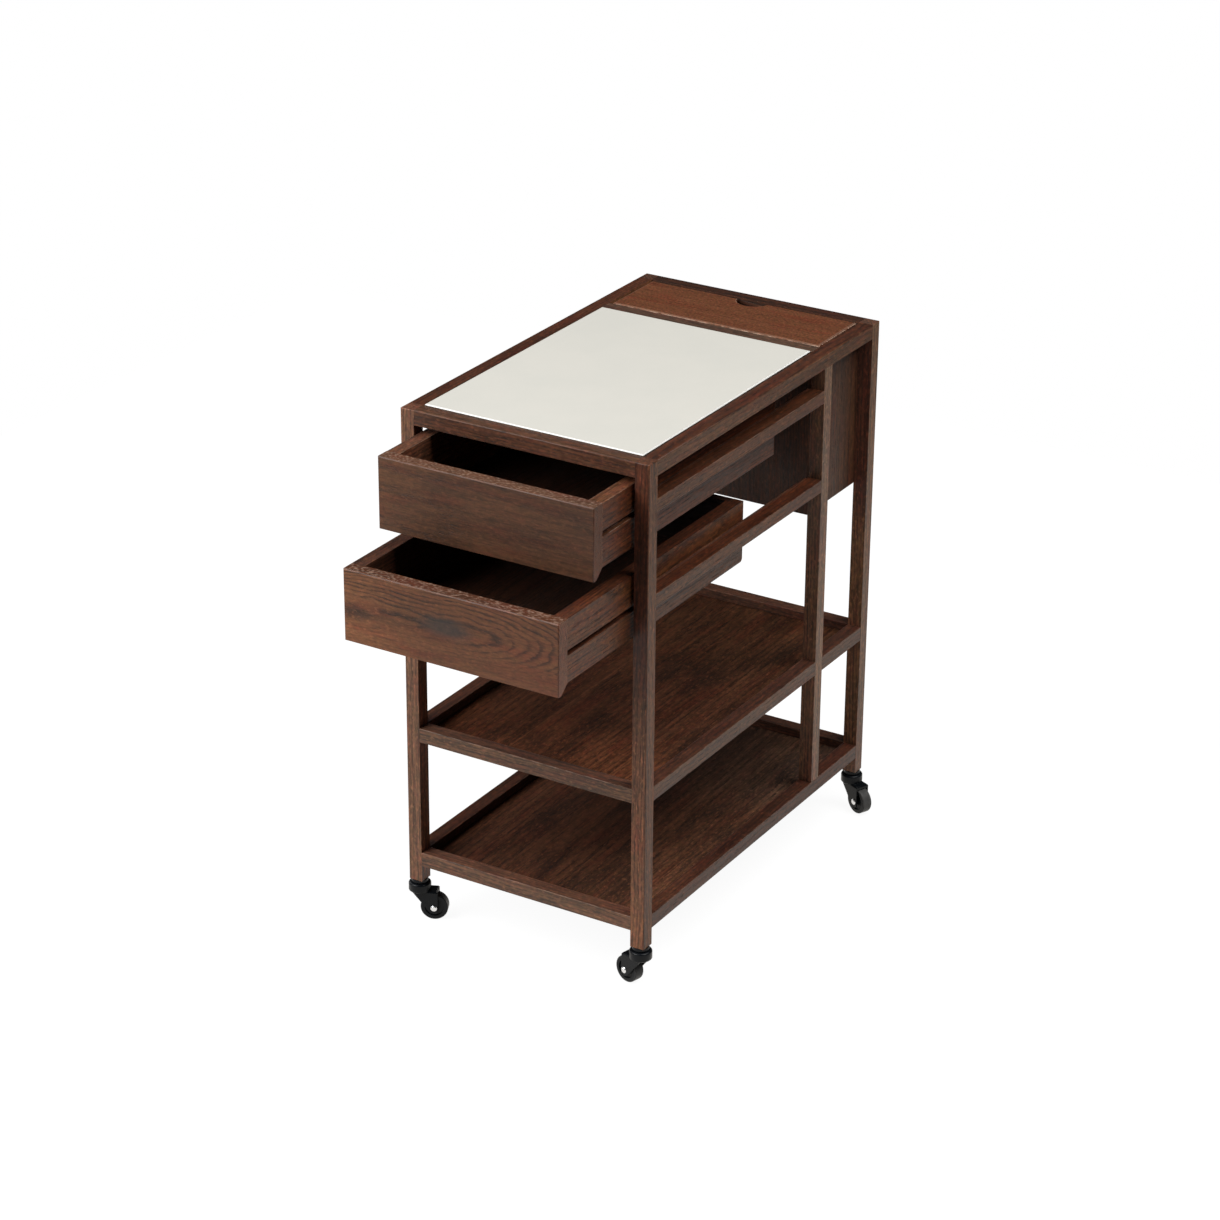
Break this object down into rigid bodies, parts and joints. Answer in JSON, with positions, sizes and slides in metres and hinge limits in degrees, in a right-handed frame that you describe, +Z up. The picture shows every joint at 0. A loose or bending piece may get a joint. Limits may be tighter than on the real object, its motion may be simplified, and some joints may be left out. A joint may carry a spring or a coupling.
{
  "type": "cheese trolley",
  "caption": "Wooden trolley on swivel casters with a slab top, a lidded bin, two drawers on wooden runners and two tray shelves.",
  "frame": {"origin": "floor point under the middle of the trolley as it stands, with both drawers drawn out", "axes": "+X to the right seen from the drawer fronts, +Y from the drawer fronts to the bin end, +Z up"},
  "size_m": [0.518, 0.9622, 0.909],
  "materials": {
    "frame_wood": "dark stained open-grain oak, satin",
    "shelf_wood": "dark stained panel, satin",
    "bin_wood": "dark stained panel, satin",
    "runner_wood": "dark stained wood, worn smooth",
    "drawer_front_wood": "dark stained oak with a cathedral figure, satin",
    "drawer_side_wood": "dark stained oak, satin",
    "drawer_inner_wood": "very dark stain, matt",
    "lid_wood": "reddish brown stain, fine grain, satin",
    "slab_stone": "honed off-white",
    "caster_black": "black, satin",
    "wheel_black": "black, smooth tread",
    "axle_steel": "bright plated"
  },
  "bodies": {
    "frame": {"post_front_left": "frame_wood", "post_front_right": "frame_wood", "post_rear_left": "frame_wood", "post_rear_right": "frame_wood", "post_mid_left": "frame_wood", "post_mid_right": "frame_wood", "top_rail_front": "frame_wood", "top_rail_rear": "frame_wood", "top_rail_left": "frame_wood", "top_rail_right": "frame_wood", "upper_side_rail_left": "frame_wood", "upper_side_rail_right": "frame_wood", "lower_side_rail_left": "frame_wood", "lower_side_rail_right": "frame_wood", "mid_shelf_rail_front": "frame_wood", "mid_shelf_rail_rear": "frame_wood", "mid_shelf_rail_left": "frame_wood", "mid_shelf_rail_right": "frame_wood", "low_shelf_rail_front": "frame_wood", "low_shelf_rail_rear": "frame_wood", "low_shelf_rail_left": "frame_wood", "low_shelf_rail_right": "frame_wood", "top_rail_cross": "frame_wood", "upper_runners": "runner_wood", "lower_runners": "runner_wood", "mid_shelf_panel": "shelf_wood", "low_shelf_panel": "shelf_wood", "slab": "slab_stone", "slab_ledges": "runner_wood", "bin_front": "bin_wood", "bin_rear": "bin_wood", "bin_left": "bin_wood", "bin_right": "bin_wood", "bin_floor": "bin_wood", "caster_stems": "caster_black"},
    "upper_drawer": {"upper_drawer_front": "drawer_front_wood", "upper_drawer_side_left": "drawer_side_wood", "upper_drawer_side_right": "drawer_side_wood", "upper_drawer_back": "drawer_inner_wood", "upper_drawer_bottom": "drawer_inner_wood"},
    "lower_drawer": {"lower_drawer_front": "drawer_front_wood", "lower_drawer_side_left": "drawer_side_wood", "lower_drawer_side_right": "drawer_side_wood", "lower_drawer_back": "drawer_inner_wood", "lower_drawer_bottom": "drawer_inner_wood"},
    "lid": {"lid": "lid_wood"},
    "caster_front_left": {"caster_fork_front_left": "caster_black", "caster_axle_front_left": "axle_steel"},
    "wheel_front_left": {"caster_wheel_front_left": "wheel_black"},
    "caster_front_right": {"caster_fork_front_right": "caster_black", "caster_axle_front_right": "axle_steel"},
    "wheel_front_right": {"caster_wheel_front_right": "wheel_black"},
    "caster_rear_left": {"caster_fork_rear_left": "caster_black", "caster_axle_rear_left": "axle_steel"},
    "wheel_rear_left": {"caster_wheel_rear_left": "wheel_black"},
    "caster_rear_right": {"caster_fork_rear_right": "caster_black", "caster_axle_rear_right": "axle_steel"},
    "wheel_rear_right": {"caster_wheel_rear_right": "wheel_black"}
  },
  "joints": [
    {"name": "upper_drawer_slide", "type": "slide", "parent": "frame", "child": "upper_drawer", "axis": [0, -1, 0], "range_m": [-0.108, 0.292]},
    {"name": "lower_drawer_slide", "type": "slide", "parent": "frame", "child": "lower_drawer", "axis": [0, -1, 0], "range_m": [-0.206, 0.194]},
    {"name": "lid_lift", "type": "slide", "parent": "frame", "child": "lid", "axis": [0, 0, 1], "range_m": [0, 0.15]},
    {"name": "swivel_front_left", "type": "hinge", "parent": "frame", "child": "caster_front_left", "pos_m": [-0.2125, -0.26262, 0.06], "axis": [0, 0, 1], "continuous": true},
    {"name": "roll_front_left", "type": "hinge", "parent": "caster_front_left", "child": "wheel_front_left", "pos_m": [-0.19029, -0.25227, 0.023], "axis": [-0.4226, 0.9063, 0], "continuous": true},
    {"name": "swivel_front_right", "type": "hinge", "parent": "frame", "child": "caster_front_right", "pos_m": [0.2125, -0.26262, 0.06], "axis": [0, 0, 1], "continuous": true},
    {"name": "roll_front_right", "type": "hinge", "parent": "caster_front_right", "child": "wheel_front_right", "pos_m": [0.18884, -0.25628, 0.023], "axis": [-0.2588, -0.9659, 0], "continuous": true},
    {"name": "swivel_rear_left", "type": "hinge", "parent": "frame", "child": "caster_rear_left", "pos_m": [-0.2125, 0.46237, 0.06], "axis": [0, 0, 1], "continuous": true},
    {"name": "roll_rear_left", "type": "hinge", "parent": "caster_rear_left", "child": "wheel_rear_left", "pos_m": [-0.23488, 0.45241, 0.023], "axis": [0.4067, -0.9135, 0], "continuous": true},
    {"name": "swivel_rear_right", "type": "hinge", "parent": "frame", "child": "caster_rear_right", "pos_m": [0.2125, 0.46237, 0.06], "axis": [0, 0, 1], "continuous": true},
    {"name": "roll_rear_right", "type": "hinge", "parent": "caster_rear_right", "child": "wheel_rear_right", "pos_m": [0.23488, 0.45241, 0.023], "axis": [0.4067, 0.9135, 0], "continuous": true}
  ]
}
